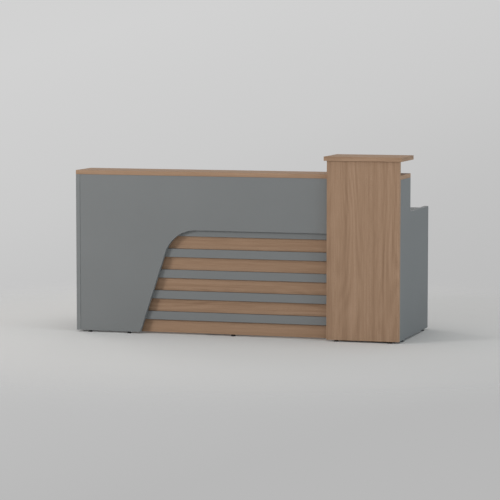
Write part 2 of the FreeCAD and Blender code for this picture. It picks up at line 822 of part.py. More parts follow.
# Checks of the finished model, then one file for each sub-part
doc.recompute()
for item in doc.Objects:
    if any(flag in ("Invalid", "Error") for flag in item.State):
        raise RuntimeError("failed: " + item.Name)
for name, item in nodes.items():
    if item.Shape.isNull() or not item.Shape.isValid() or not item.Shape.Solids:
        raise RuntimeError("bad shape: " + name)
for name, item in nodes.items():
    item.Shape.exportStep("parts/%s.step" % name)
whole = Part.Compound([item.Shape for item in nodes.values()])
box = whole.BoundBox
print("%d sub-parts, %d solids" % (len(nodes), len(whole.Solids)))
print("size %.1f x %.1f x %.1f" % (box.XLength, box.YLength, box.ZLength))
print("from %.1f %.1f %.1f" % (box.XMin, box.YMin, box.ZMin))
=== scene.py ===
import json
import math

import bmesh
import bpy
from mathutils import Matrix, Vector

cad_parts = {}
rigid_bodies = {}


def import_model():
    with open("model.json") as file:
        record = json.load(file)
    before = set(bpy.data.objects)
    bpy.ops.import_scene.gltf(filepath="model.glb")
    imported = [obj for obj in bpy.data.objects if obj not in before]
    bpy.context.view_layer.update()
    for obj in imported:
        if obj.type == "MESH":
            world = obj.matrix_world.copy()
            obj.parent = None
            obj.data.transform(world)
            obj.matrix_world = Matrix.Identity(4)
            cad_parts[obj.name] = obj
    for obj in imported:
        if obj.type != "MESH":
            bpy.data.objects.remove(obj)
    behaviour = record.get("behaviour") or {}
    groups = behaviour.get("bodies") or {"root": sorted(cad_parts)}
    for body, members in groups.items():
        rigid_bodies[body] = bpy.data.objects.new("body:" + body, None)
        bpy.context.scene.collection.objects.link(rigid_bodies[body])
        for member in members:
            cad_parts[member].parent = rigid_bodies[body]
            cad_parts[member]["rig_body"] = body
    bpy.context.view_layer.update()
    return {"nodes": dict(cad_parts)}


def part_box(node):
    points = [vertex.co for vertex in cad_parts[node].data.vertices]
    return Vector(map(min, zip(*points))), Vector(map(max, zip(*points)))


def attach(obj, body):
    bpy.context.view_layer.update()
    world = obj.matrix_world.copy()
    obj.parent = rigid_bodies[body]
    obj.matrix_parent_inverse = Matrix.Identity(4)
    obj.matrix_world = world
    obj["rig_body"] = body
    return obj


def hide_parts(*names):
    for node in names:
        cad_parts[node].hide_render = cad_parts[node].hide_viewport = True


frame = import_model()


# Camera
# It stands on the visitor side, about 14 m off and to the right of the desk, a little above
# the tower, and looks slightly down. Its long lens gives the photograph's flat perspective.
CAMERA_PLACE = (4.168, -13.791, 1.778)
CAMERA_YAW = math.radians(16.892)
CAMERA_PITCH = math.radians(5.111)
PHOTO_WIDTH_PX = 500
FOCAL_LENGTH_PX = 2397.5

camera_data = bpy.data.cameras.new("camera")
camera_data.sensor_width = 36
camera_data.lens = camera_data.sensor_width * FOCAL_LENGTH_PX / PHOTO_WIDTH_PX
camera_data.clip_end = 200
camera = bpy.data.objects.new("camera", camera_data)
camera.location = CAMERA_PLACE
camera.rotation_euler = (math.pi / 2 - CAMERA_PITCH, 0, CAMERA_YAW)
bpy.context.scene.collection.objects.link(camera)
bpy.context.scene.camera = camera
bpy.context.scene.view_settings.view_transform = "Standard"


# Floor, backdrop and light
# A pale grey studio floor that fades into a pale backdrop all round. The light is soft: a
# large lamp from the left of the visitor side, a weaker cool one from the right, one overhead,
# two from behind, and plain room light.
class Value:
    """One output of a node. Arithmetic on it adds Math nodes."""

    def __init__(self, graph, socket):
        self.graph = graph
        self.socket = socket

    def reckon(self, operation, first, second=0.0):
        return self.graph.add("ShaderNodeMath", {"operation": operation}, {0: first, 1: second})

    def __add__(self, other):
        return self.reckon("ADD", self, other)

    def __radd__(self, other):
        return self.reckon("ADD", other, self)

    def __sub__(self, other):
        return self.reckon("SUBTRACT", self, other)

    def __rsub__(self, other):
        return self.reckon("SUBTRACT", other, self)

    def __mul__(self, other):
        return self.reckon("MULTIPLY", self, other)

    def __rmul__(self, other):
        return self.reckon("MULTIPLY", other, self)

    def sine(self):
        return self.reckon("SINE", self)

    def root(self):
        return self.reckon("SQRT", self)

    def largest(self, other):
        return self.reckon("MAXIMUM", self, other)


class Graph:
    """A node tree that is written as expressions."""

    def __init__(self, tree):
        self.tree = tree
        tree.nodes.clear()

    def add(self, kind, settings=None, sockets=None, output=0):
        """Adds a node, sets it up, fills or links its sockets, and gives one of its outputs."""
        node = self.tree.nodes.new(kind)
        for name, value in (settings or {}).items():
            if name == "stops":
                set_stops(node.color_ramp, value)
            else:
                setattr(node, name, value)
        for name, value in (sockets or {}).items():
            if isinstance(value, Value):
                self.tree.links.new(value.socket, node.inputs[name])
            else:
                node.inputs[name].default_value = value
        if output is None:
            return node
        return Value(self, node.outputs[output])

    def noise(self, place, scale, detail=2.0, roughness=0.5):
        """Noise with so many features a metre, or with a number of them for each axis."""
        if isinstance(scale, tuple):
            place = self.add("ShaderNodeMapping", {}, {"Vector": place, "Scale": scale})
            scale = 1.0
        return self.add("ShaderNodeTexNoise", {}, {
            "Vector": place, "Scale": scale, "Detail": detail, "Roughness": roughness})

    def between(self, share, low, high):
        """0 below the low value, 1 above the high one, and a soft step between them."""
        return self.add("ShaderNodeMapRange", {"interpolation_type": "SMOOTHSTEP"}, {
            "Value": share, "From Min": low, "From Max": high})

    def mix(self, share, first, second):
        """A colour between two colours. The Mix node keeps one set of sockets for each kind."""
        return self.add("ShaderNodeMix", {"data_type": "RGBA"}, {
            0: share, 6: first, 7: second}, output=2)

    def bump(self, height, distance):
        return self.add("ShaderNodeBump", {}, {
            "Height": height, "Distance": distance, "Strength": 1.0})


def set_stops(ramp, stops):
    while len(ramp.elements) < len(stops):
        ramp.elements.new(1.0)
    for element, (place, colour) in zip(ramp.elements, stops):
        element.position = place
        element.color = colour


def tone(red, green, blue):
    """A colour as a screen shows it, from 0 to 255, turned into linear light."""
    linear = [((level / 255 + 0.055) / 1.055) ** 2.4 for level in (red, green, blue)]
    return (*linear, 1.0)


def new_material(name):
    material = bpy.data.materials.new(name)
    material.use_nodes = True
    return material, Graph(material.node_tree)


def close_material(graph, sockets):
    shader = graph.add("ShaderNodeBsdfPrincipled", {}, sockets)
    graph.add("ShaderNodeOutputMaterial", {}, {"Surface": shader}, output=None)


FLOOR_TONE = tone(219, 218, 216)
FLOOR_REACH = 14.0
FLOOR_SOLID_TO = 1.3
FLOOR_GONE_AT = 3.4
FLOOR_ROUGHNESS = 0.6
HORIZON_LIGHT = 0.8
CEILING_LIGHT = 0.2
BACKDROP_LOW = -0.2
BACKDROP_HIGH = 0.02
BACKDROP_LEFT = -0.39
BACKDROP_RIGHT = -0.19
BACKDROP_LEFT_LIFT = 0.15
BACKDROP_RIGHT_LIFT = -0.15
BACKDROP_STOPS = [(0.1, tone(184, 184, 184)), (0.33, tone(190, 190, 190)),
                  (0.5, tone(195, 195, 195)), (0.7, tone(203, 203, 203)),
                  (1.0, tone(210, 210, 210))]
WHITE_LIGHT = (1.0, 1.0, 1.0)
COOL_LIGHT = (0.7, 0.88, 1.0)
DESK_MIDDLE = (0.0, 0.0, 0.5)

world = bpy.data.worlds.new("studio")
world.use_nodes = True
bpy.context.scene.world = world
studio = Graph(world.node_tree)
direction = studio.add("ShaderNodeTexCoord", output="Generated")
rise = studio.add("ShaderNodeSeparateXYZ", {}, {"Vector": direction}, output="Z")
sideways = studio.add("ShaderNodeSeparateXYZ", {}, {"Vector": direction}, output="X")
height_share = studio.add("ShaderNodeMapRange", {}, {
    "Value": rise, "From Min": BACKDROP_LOW, "From Max": BACKDROP_HIGH})
side_lift = studio.add("ShaderNodeMapRange", {}, {
    "Value": sideways, "From Min": BACKDROP_LEFT, "From Max": BACKDROP_RIGHT,
    "To Min": BACKDROP_LEFT_LIFT, "To Max": BACKDROP_RIGHT_LIFT})
backdrop = studio.add("ShaderNodeValToRGB", {"stops": BACKDROP_STOPS},
                      {"Fac": height_share + side_lift})
camera_ray = studio.add("ShaderNodeLightPath", output="Is Camera Ray")
glossy_ray = studio.add("ShaderNodeLightPath", output="Is Glossy Ray")
through_ray = studio.add("ShaderNodeLightPath", output="Is Transmission Ray")
seen = camera_ray.largest(glossy_ray).largest(through_ray)
room_light = studio.add("ShaderNodeMapRange", {}, {
    "Value": rise, "From Min": 0.0, "From Max": 1.0,
    "To Min": HORIZON_LIGHT, "To Max": CEILING_LIGHT})
light_shader = studio.add("ShaderNodeBackground", {}, {
    "Color": (*WHITE_LIGHT, 1.0), "Strength": room_light})
seen_shader = studio.add("ShaderNodeBackground", {}, {"Color": backdrop, "Strength": 1.0})
surround = studio.add("ShaderNodeMixShader", {}, {0: seen, 1: light_shader, 2: seen_shader})
studio.add("ShaderNodeOutputWorld", {}, {"Surface": surround}, output=None)

floor_finish, graph = new_material("studio_floor")
place = graph.add("ShaderNodeTexCoord", output="Object")
from_middle = graph.add("ShaderNodeVectorMath", {"operation": "LENGTH"}, {0: place},
                        output="Value")
fade = graph.between(from_middle, FLOOR_SOLID_TO, FLOOR_GONE_AT)
solid_floor = graph.add("ShaderNodeBsdfPrincipled", {}, {
    "Base Color": FLOOR_TONE, "Roughness": FLOOR_ROUGHNESS, "Specular IOR Level": 0.0})
no_floor = graph.add("ShaderNodeBsdfTransparent")
floor_shader = graph.add("ShaderNodeMixShader", {}, {0: fade, 1: solid_floor, 2: no_floor})
graph.add("ShaderNodeOutputMaterial", {}, {"Surface": floor_shader}, output=None)

floor_mesh = bpy.data.meshes.new("floor")
corners = [(-FLOOR_REACH, -FLOOR_REACH, 0), (FLOOR_REACH, -FLOOR_REACH, 0),
           (FLOOR_REACH, FLOOR_REACH, 0), (-FLOOR_REACH, FLOOR_REACH, 0)]
floor_mesh.from_pydata(corners, [], [(0, 1, 2, 3)])
floor_mesh.materials.append(floor_finish)
floor = bpy.data.objects.new("floor", floor_mesh)
bpy.context.scene.collection.objects.link(floor)


def soft_lamp(name, place, size, power, tint=WHITE_LIGHT):
    """A large soft rectangular lamp that faces the desk and isn't seen itself."""
    data = bpy.data.lights.new(name, "AREA")
    data.color = tint
    data.shape = "RECTANGLE"
    data.size = size[0]
    data.size_y = size[1]
    data.energy = power
    lamp = bpy.data.objects.new(name, data)
    lamp.location = place
    towards_desk = Vector(DESK_MIDDLE) - Vector(place)
    lamp.rotation_euler = towards_desk.to_track_quat("-Z", "Y").to_euler()
    lamp.visible_camera = False
    bpy.context.scene.collection.objects.link(lamp)


soft_lamp("key_lamp", place=(-6.7, -6.4, 2.7), size=(2.2, 1.8), power=342)
soft_lamp("top_lamp", place=(0.3, -0.4, 6.5), size=(5.0, 5.0), power=105)
soft_lamp("fill_lamp", place=(7.5, -2.5, 1.6), size=(3.0, 3.0), power=136, tint=COOL_LIGHT)
soft_lamp("rear_lamp", place=(-6.0, 4.5, 4.0), size=(3.0, 2.5), power=90)
soft_lamp("low_rear_lamp", place=(-1.6, 6.0, 0.55), size=(3.0, 0.8), power=120)


# End panels
# Two stepped gables of 25 mm grey melamine-faced board, high under the counter and low under
# the worktop. Every edge carries a 2 mm plastic band, glued on, trimmed and slightly rounded.
NODES = frame["nodes"]
EDGE_RADIUS = 0.0012
EDGE_BAND = 0.002
EDGE_STEPS = 2
ROUND_PROFILE = 0.5
WELD_DISTANCE = 0.00001
FLAT_ANGLE = math.radians(0.5)
SHARP_ANGLE = math.radians(35)
LARGE_FACE_COSINE = 0.99
LARGE_FACES_FIRST = 100
GREY_TONE = tone(124, 126, 126)
GREY_DARK_TONE = tone(118, 120, 120)
GREY_BAND_TONE = tone(128, 130, 130)
GREY_CLOUD_SCALE = 2.2
GREY_CLOUD_WEIGHT = 0.55
GREY_PEARL_SCALE = 900
GREY_PEARL_WEIGHT = 0.3
GREY_HAIR_SCALE = (260, 260, 60)
GREY_HAIR_WEIGHT = 0.15
GREY_CONTRAST = 2.2
BAND_WEAR_SCALE = 14
BAND_WEAR_STEP = (0.5, 0.75)
GREY_ROUGHNESS = 0.62
GREY_RELIEF = 0.00006
MELAMINE_SPECULAR = 0.1


def make_grey_melamine(name, band_tone_or_painted_shade, band_worn_tone_or_painted_shade):
    """Matt grey print under melamine resin: fine pearl grain, and bands a little smoother."""
    material, graph = new_material(name)
    place = graph.add("ShaderNodeTexCoord", output="Object")
    band = graph.add("ShaderNodeAttribute", {"attribute_name": "band"}, output="Fac")
    clouds = graph.noise(place, GREY_CLOUD_SCALE, detail=3)
    pearl = graph.noise(place, GREY_PEARL_SCALE, roughness=0.6)
    hairs = graph.noise(place, GREY_HAIR_SCALE)
    print_share = (clouds * GREY_CLOUD_WEIGHT + pearl * GREY_PEARL_WEIGHT
                   + hairs * GREY_HAIR_WEIGHT)
    shade = (print_share - 0.5) * GREY_CONTRAST + 0.5
    board = graph.mix(shade, GREY_DARK_TONE, GREY_TONE)
    scuffs = graph.noise(place, BAND_WEAR_SCALE, detail=4, roughness=0.7)
    # The band tones come from the caller. They are the band's own colour on most boards and
    # painted shade on the slats' long edges.
    edge = graph.mix(graph.between(scuffs, *BAND_WEAR_STEP), band_tone_or_painted_shade, band_worn_tone_or_painted_shade)
    close_material(graph, {
        "Base Color": graph.mix(band, board, edge),
        "Roughness": GREY_ROUGHNESS + (pearl - 0.5) * 0.22 + (clouds - 0.5) * 0.1 - band * 0.1,
        "Specular IOR Level": MELAMINE_SPECULAR,
        "Normal": graph.bump(pearl + hairs * 0.4, GREY_RELIEF),
    })
    return material


def whole_faces(node):
    """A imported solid's loose triangles, joined into whole faces."""
    shape = bmesh.new()
    shape.from_mesh(NODES[node].data)
    bmesh.ops.remove_doubles(shape, verts=shape.verts, dist=WELD_DISTANCE)
    bmesh.ops.dissolve_limit(
        shape, angle_limit=FLAT_ANGLE, verts=shape.verts, edges=shape.edges)
    return shape


def round_edges(shape, radius):
    sharp = [edge for edge in shape.edges if edge.calc_face_angle(0) > SHARP_ANGLE]
    bmesh.ops.bevel(shape, geom=sharp, offset=radius, segments=EDGE_STEPS,
                    profile=ROUND_PROFILE, affect="EDGES", clamp_overlap=True)


def map_grain(shape, grain, across, shift):
    """Unrolls the faces in metres, with the grain along the board or along each edge. The
    shift gives each board its own stretch of the print."""
    layer = shape.loops.layers.uv.new("grain")
    for face in shape.faces:
        facing = max(range(3), key=lambda axis: abs(face.normal[axis]))
        if facing == across:
            along = grain
        else:
            along = 3 - facing - across
        side = 3 - facing - along
        for loop in face.loops:
            spot = loop.vert.co
            loop[layer].uv = (spot[along] + shift, spot[side] + shift)


def stand_in(node, shape, name, material):
    """Makes a piece of the shape, which stands for a node and moves with its body."""
    mesh = bpy.data.meshes.new(name)
    for face in shape.faces:
        face.smooth = True
    shape.to_mesh(mesh)
    shape.free()
    mesh.materials.append(material)
    piece = bpy.data.objects.new(name, mesh)
    bpy.context.scene.collection.objects.link(piece)
    normals = piece.modifiers.new("even_faces", "WEIGHTED_NORMAL")
    normals.weight = LARGE_FACES_FIRST
    normals.keep_sharp = True
    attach(piece, NODES[node]["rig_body"])
    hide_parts(node)


def faced_board(node, across, material, grain=None, radius=EDGE_RADIUS, band=EDGE_BAND):
    """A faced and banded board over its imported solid. Across is the axis of its thickness,
    and the grain lies along the longer side where no axis is given for it."""
    low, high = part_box(node)
    across = "xyz".index(across)
    if grain is None:
        flat = [axis for axis in range(3) if axis != across]
        grain = max(flat, key=lambda axis: high[axis] - low[axis])
    else:
        grain = "xyz".index(grain)
    shape = whole_faces(node)
    layer = shape.faces.layers.float.new("band")
    round_edges(shape, radius)
    large = [face for face in shape.faces
             if abs(face.normal[across]) > LARGE_FACE_COSINE]
    bmesh.ops.inset_region(shape, faces=large, thickness=band - radius, use_even_offset=True)
    for face in shape.faces:
        face[layer] = 1.0
    for face in large:
        face[layer] = 0.0
    map_grain(shape, grain, across, low.x + low.y + low.z)
    stand_in(node, shape, node + "_faced", material)


grey_melamine = make_grey_melamine("grey_melamine", GREY_TONE, GREY_BAND_TONE)
for node in ("left_end_panel", "right_end_panel"):
    faced_board(node, "x", grey_melamine)


# Front panel
# One grey board between the gables, set 2 mm back under the counter. A router cuts the
# slanted, round-shouldered opening in it, and its cut edge is banded like the others.
faced_board("front_panel", "y", grey_melamine)


# Grille slats
# Five grey bars of 18 mm faced board, screwed from behind through the wooden backing. The top
# one is partly hidden by the front panel. The dark grey on their long edges is painted shade:
# it stands in for the shaded top faces and draws a line above and below each bar.
SLAT_COUNT = 5
# Painted shade: these dark edge tones stand in for the shaded top faces of the bars.
SLAT_EDGE_PAINTED_SHADE_TONE = tone(84, 84, 85)
SLAT_EDGE_PAINTED_SHADE_WORN_TONE = tone(95, 95, 95)
SLAT_EDGE_RADIUS = 0.0005
SLAT_EDGE_BAND = 0.0008

slat_melamine = make_grey_melamine("slat_melamine", SLAT_EDGE_PAINTED_SHADE_TONE, SLAT_EDGE_PAINTED_SHADE_WORN_TONE)
for number in range(1, SLAT_COUNT + 1):
    faced_board("grille_slat_%d" % number, "y", slat_melamine,
                radius=SLAT_EDGE_RADIUS, band=SLAT_EDGE_BAND)


# Grille backing
# An 18 mm wood-print board behind the slats, with its grain along the desk. It shows as the
# brown strips between them.
WOOD_LIGHT_TONE = tone(172, 142, 118)
WOOD_MID_TONE = tone(156, 127, 103)
WOOD_DARK_TONE = tone(136, 108, 86)
WOOD_PORE_TONE = tone(106, 83, 65)
WOOD_STOPS = [(0.12, WOOD_DARK_TONE), (0.5, WOOD_MID_TONE), (0.88, WOOD_LIGHT_TONE)]
WOOD_BAND_SCALE = (0.15, 19, 1)
WOOD_BAND_WEIGHT = 0.5
WOOD_HEART_SCALE = (0.2, 4.2, 1)
WOOD_HEART_STEP = (0.46, 0.56)
WOOD_ARCH_RATE = 90
WOOD_ARCH_BEND = 95
WOOD_ARCH_BEND_SCALE = (0.8, 4.5, 1)
WOOD_ARCH_WEIGHT = 0.09
WOOD_STREAK_SCALE = (0.7, 66, 1)
WOOD_STREAK_WEIGHT = 0.9
WOOD_FLECK_SCALE = (7, 170, 1)
WOOD_FLECK_WEIGHT = 0.6
WOOD_FIBRE_SCALE = (22, 900, 1)
WOOD_FIBRE_WEIGHT = 0.3
WOOD_DARKENING = 0.65
WOOD_PORE_SCALE = (75, 1500, 1)
WOOD_PORE_STEP = (0.63, 0.7)
WOOD_PORE_STREAK_STEP = (0.42, 0.6)
WOOD_ROUGHNESS = 0.58
WOOD_RELIEF = 0.00008


def make_wood_melamine():
    """Printed wood under melamine resin: broad bands, faint arches, fibres and short pores."""
    material, graph = new_material("wood_melamine")
    grain = graph.add("ShaderNodeUVMap", {"uv_map": "grain"})
    band = graph.add("ShaderNodeAttribute", {"attribute_name": "band"}, output="Fac")
    across = graph.add("ShaderNodeSeparateXYZ", {}, {"Vector": grain}, output="Y")
    broad = graph.noise(grain, WOOD_BAND_SCALE, detail=1)
    bend = graph.noise(grain, WOOD_ARCH_BEND_SCALE, detail=1)
    hearts = graph.between(graph.noise(grain, WOOD_HEART_SCALE), *WOOD_HEART_STEP)
    arches = (across * WOOD_ARCH_RATE + bend * WOOD_ARCH_BEND).sine() * hearts
    streaks = graph.noise(grain, WOOD_STREAK_SCALE, detail=5, roughness=0.62)
    flecks = graph.noise(grain, WOOD_FLECK_SCALE, detail=3, roughness=0.6)
    fibres = graph.noise(grain, WOOD_FIBRE_SCALE, detail=3, roughness=0.6)
    dashes = graph.noise(grain, WOOD_PORE_SCALE, detail=1)
    pores = (graph.between(dashes, *WOOD_PORE_STEP)
             * graph.between(streaks, *WOOD_PORE_STREAK_STEP))
    share = (broad * WOOD_BAND_WEIGHT + arches * WOOD_ARCH_WEIGHT
             + streaks * WOOD_STREAK_WEIGHT + flecks * WOOD_FLECK_WEIGHT
             + fibres * WOOD_FIBRE_WEIGHT - WOOD_DARKENING)
    colour = graph.add("ShaderNodeValToRGB", {"stops": WOOD_STOPS}, {"Fac": share})
    close_material(graph, {
        "Base Color": graph.mix(pores * 0.7, colour, WOOD_PORE_TONE),
        "Roughness": WOOD_ROUGHNESS + (fibres - 0.5) * 0.25 + pores * 0.15 - band * 0.07,
        "Specular IOR Level": MELAMINE_SPECULAR,
        "Normal": graph.bump(fibres * 0.6 - pores, WOOD_RELIEF),
    })
    return material


wood_melamine = make_wood_melamine()
faced_board("grille_backing", "y", wood_melamine, grain="x")


# Worktop and its support
# A 25 mm grey top between the gables, bored for two cable grommets, and a grey fin under it
# that stands behind the grille and keeps the long span from sagging.
faced_board("worktop", "z", grey_melamine)
faced_board("worktop_support", "x", grey_melamine)


# Counter and its dividers
# A wood-print board on the gables and the front panel, with its grain along the desk, and two
# thin grey dividers that carry it above the worktop and part the open niche.
faced_board("counter_board", "z", wood_melamine, grain="x")
for node in ("counter_divider_1", "counter_divider_2"):
    faced_board(node, "x", grey_melamine)


# Tower and its packing strips
# A wood-print board with upright grain, taller than the counter. Two thin grey strips fill
# the space between it and the front panel.
PACKING_RADIUS = 0.0003
faced_board("tower_board", "y", wood_melamine, grain="z")
faced_board("tower_packing_strips", "y", grey_melamine, radius=PACKING_RADIUS)


# Cap and its risers
# A shelf of the same wood print on the tower's top edge and on three thin risers, which stand
# on the counter and are set back from the cap's ends.
faced_board("cap_board", "z", wood_melamine, grain="x")
for node in ("cap_riser_left", "cap_riser_right"):
    faced_board(node, "x", wood_melamine, grain="y")
faced_board("cap_riser_rear", "y", wood_melamine, grain="x")


# Floor glides
# Tapered feet of moulded black nylon, nailed into the bottom edges of the boards that reach
# the floor. The bearing face is rubbed dull and the cone keeps its moulded sheen.
BLACK_TONE = tone(15, 15, 16)
BLACK_RUBBED_TONE = tone(36, 36, 38)
GLIDE_REST = 0.002
GLIDE_RADIUS = 0.0006
NYLON_GRAIN_SCALE = 1600
NYLON_RUB_SCALE = 240
NYLON_ROUGHNESS = 0.42
NYLON_SPECULAR = 0.2
NYLON_RELIEF = 0.00005


def make_black_nylon():
    material, graph = new_material("black_nylon")
    place = graph.add("ShaderNodeTexCoord", output="Object")
    level = graph.add("ShaderNodeSeparateXYZ", {}, {"Vector": place}, output="Z")
    grain = graph.noise(place, NYLON_GRAIN_SCALE)
    rests = 1 - graph.between(level, 0.0, GLIDE_REST)
    rub = rests * graph.noise(place, NYLON_RUB_SCALE, detail=3)
    close_material(graph, {
        "Base Color": graph.mix(rub, BLACK_TONE, BLACK_RUBBED_TONE),
        "Roughness": NYLON_ROUGHNESS + (grain - 0.5) * 0.2 + rub * 0.3,
        "Specular IOR Level": NYLON_SPECULAR,
        "Normal": graph.bump(grain, NYLON_RELIEF),
    })
    return material


def rounded_part(node, name, material, radius):
    """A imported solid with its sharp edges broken."""
    shape = whole_faces(node)
    round_edges(shape, radius)
    stand_in(node, shape, name, material)


rounded_part("floor_glides", "floor_glides_moulded", make_black_nylon(), GLIDE_RADIUS)


# Cable grommets
# Two moulded sleeves pressed into the worktop, each with a cap that turns in it on a ledge and
# has a slot for the cables. Both are dark grey plastic with a fine spark-eroded texture.
GROMMET_TONE = tone(62, 63, 65)
GROMMET_DARK_TONE = tone(52, 53, 55)
GROMMET_TEXTURE_SCALE = 2200
GROMMET_CLOUD_SCALE = 60
GROMMET_ROUGHNESS = 0.48
GROMMET_RELIEF = 0.00008
GROMMET_RADIUS = 0.0004


def make_grommet_plastic():
    material, graph = new_material("grommet_plastic")
    place = graph.add("ShaderNodeTexCoord", output="Object")
    texture = graph.noise(place, GROMMET_TEXTURE_SCALE, roughness=0.7)
    clouds = graph.noise(place, GROMMET_CLOUD_SCALE)
    close_material(graph, {
        "Base Color": graph.mix(texture * 0.6 + clouds * 0.4, GROMMET_DARK_TONE, GROMMET_TONE),
        "Roughness": GROMMET_ROUGHNESS + (texture - 0.5) * 0.3,
        "Normal": graph.bump(texture, GROMMET_RELIEF),
    })
    return material


grommet_plastic = make_grommet_plastic()
for number in (1, 2):
    for part in ("grommet_sleeve_%d" % number, "grommet_cap_%d" % number):
        rounded_part(part, part + "_moulded", grommet_plastic, GROMMET_RADIUS)


# Pedestal carcass
# A box of 18 mm grey board with a thinner back, screwed to the right gable and to the
# worktop. Its front edges are banded, and the drawer fronts cover them.
for node in ("pedestal_side_left", "pedestal_side_right"):
    faced_board(node, "x", grey_melamine)
for node in ("pedestal_bottom", "pedestal_top"):
    faced_board(node, "z", grey_melamine)
faced_board("pedestal_back", "y", grey_melamine)


# Drawer runners
# Three nested channels of zinc-plated strip steel on each side of a drawer: a rail screwed to
# the carcass, a middle member, and a slide screwed to the drawer box.
ZINC_TONE = tone(196, 199, 204)
ZINC_WARM_TONE = tone(186, 184, 176)
ZINC_WEAR_TONE = tone(150, 152, 156)
ZINC_ROLLED_SCALE = (700, 30, 700)
ZINC_TINT_SCALE = 16
ZINC_RUB_SCALE = 120
ZINC_RUB_STEP = (0.56, 0.7)
ZINC_ROUGHNESS = 0.43
ZINC_RELIEF = 0.00004
DRAWER_NUMBERS = (1, 2, 3)
SHEET_RADIUS = 0.0004


def make_zinc_steel():
    """Bright zinc with rolling marks along the strip and a faint passivation tint."""
    material, graph = new_material("zinc_steel")
    place = graph.add("ShaderNodeTexCoord", output="Object")
    rolled = graph.noise(place, ZINC_ROLLED_SCALE, detail=3, roughness=0.6)
    tint = graph.noise(place, ZINC_TINT_SCALE, detail=3)
    specks = graph.noise(place, ZINC_RUB_SCALE, detail=4, roughness=0.7)
    rubs = graph.between(specks, *ZINC_RUB_STEP)
    plated = graph.mix(tint, ZINC_TONE, ZINC_WARM_TONE)
    close_material(graph, {
        "Base Color": graph.mix(rubs * 0.5, plated, ZINC_WEAR_TONE),
        "Metallic": 1.0,
        "Roughness": ZINC_ROUGHNESS + (rolled - 0.5) * 0.25 + rubs * 0.12,
        "Normal": graph.bump(rolled, ZINC_RELIEF),
    })
    return material


zinc_steel = make_zinc_steel()
rounded_part("runner_rails", "runner_rails_rolled", zinc_steel, SHEET_RADIUS)
for number in DRAWER_NUMBERS:
    for kind in ("runner_middles_%d", "runner_slides_%d"):
        node = kind % number
        rounded_part(node, node + "_rolled", zinc_steel, SHEET_RADIUS)


# Corner brackets
# Pressed angles of the same zinc-plated strip, which hold the worktop to the left gable, the
# front panel and the fin with one screw through each leg.
BRACKET_SHEET = 0.002
BRACKET_HOLE_PLACE = 0.019
SCREW_SIDES = 20
SCREW_RINGS = 5
SCREW_ROUNDING = 0.62
RECESS_LONG = 0.6
RECESS_WIDE = 0.13
RECESS_DEEP = 0.55
SCREW_SEED = 7
SCREW_ACROSS = 0.009
SCREW_HIGH = 0.0028
HEAD_SMOOTH_BELOW = math.radians(40)


def add_recess(graph, head):
    """Cuts a cross recess into the top of a head that is 1 across and 1 high."""
    for size in ((RECESS_LONG, RECESS_WIDE, RECESS_DEEP * 2),
                 (RECESS_WIDE, RECESS_LONG, RECESS_DEEP * 2)):
        bar = graph.add("GeometryNodeMeshCube", {}, {"Size": size})
        raised = graph.add("GeometryNodeTransform", {}, {
            "Geometry": bar, "Translation": (0.0, 0.0, 1.0)})
        head = graph.add("GeometryNodeMeshBoolean", {
            "operation": "DIFFERENCE", "solver": "EXACT"}, {"Mesh 1": head, "Mesh 2": raised})
    return head


def add_spin(graph, facing, seed):
    """Turns each head about its own axis by a chance angle, as a driver leaves it."""
    angle = graph.add("FunctionNodeRandomValue", {"data_type": "FLOAT"}, {
        2: 0.0, 3: math.pi, "Seed": seed}, output=1)
    spin = graph.add("FunctionNodeAxisAngleToRotation", {}, {
        "Axis": (0.0, 0.0, 1.0), "Angle": angle})
    return graph.add("FunctionNodeRotateRotation", {"rotation_space": "LOCAL"}, {
        "Rotation": facing, "Rotate By": spin})


def make_head_tree(name, sides, rings, rounding, recessed):
    """Sets a low domed head on every point, facing the point's own way."""
    inputs = {"Points": "Geometry", "Across": "Float", "High": "Float", "Finish": "Material"}
    if recessed:
        inputs["Seed"] = "Int"
    tree = bpy.data.node_groups.new(name, "GeometryNodeTree")
    for title, kind in inputs.items():
        tree.interface.new_socket(title, in_out="INPUT", socket_type="NodeSocket" + kind)
    tree.interface.new_socket("Heads", in_out="OUTPUT", socket_type="NodeSocketGeometry")
    graph = Graph(tree)
    group_input = graph.add("NodeGroupInput", output=None)
    given = {title: Value(graph, group_input.outputs[title]) for title in inputs}

    drum = graph.add("GeometryNodeMeshCylinder", {}, {
        "Vertices": sides, "Side Segments": rings, "Radius": 0.5, "Depth": 1.0})
    spot = graph.add("GeometryNodeInputPosition")
    x, y, z = [graph.add("ShaderNodeSeparateXYZ", {}, {"Vector": spot}, output=axis)
               for axis in "XYZ"]
    up = z + 0.5
    narrowing = (1 - up * up * up * rounding).root()
    domed_spot = graph.add("ShaderNodeCombineXYZ", {}, {
        "X": x * narrowing, "Y": y * narrowing, "Z": up})
    head = graph.add("GeometryNodeSetPosition", {}, {"Geometry": drum, "Position": domed_spot})
    way = graph.add("GeometryNodeInputNamedAttribute", {"data_type": "FLOAT_VECTOR"},
                    {"Name": "way"})
    turn = graph.add("FunctionNodeAlignRotationToVector", {"axis": "Z"}, {"Vector": way})
    if recessed:
        head = add_recess(graph, head)
        turn = add_spin(graph, turn, given["Seed"])
    size = graph.add("ShaderNodeCombineXYZ", {}, {
        "X": given["Across"], "Y": given["Across"], "Z": given["High"]})
    heads = graph.add("GeometryNodeInstanceOnPoints", {}, {
        "Points": given["Points"], "Instance": head, "Rotation": turn, "Scale": size})
    plain = graph.add("GeometryNodeRealizeInstances", {}, {"Geometry": heads})
    finished = graph.add("GeometryNodeSetMaterial", {}, {
        "Geometry": plain, "Material": given["Finish"]})
    graph.add("NodeGroupOutput", {}, {"Heads": finished}, output=None)
    return tree


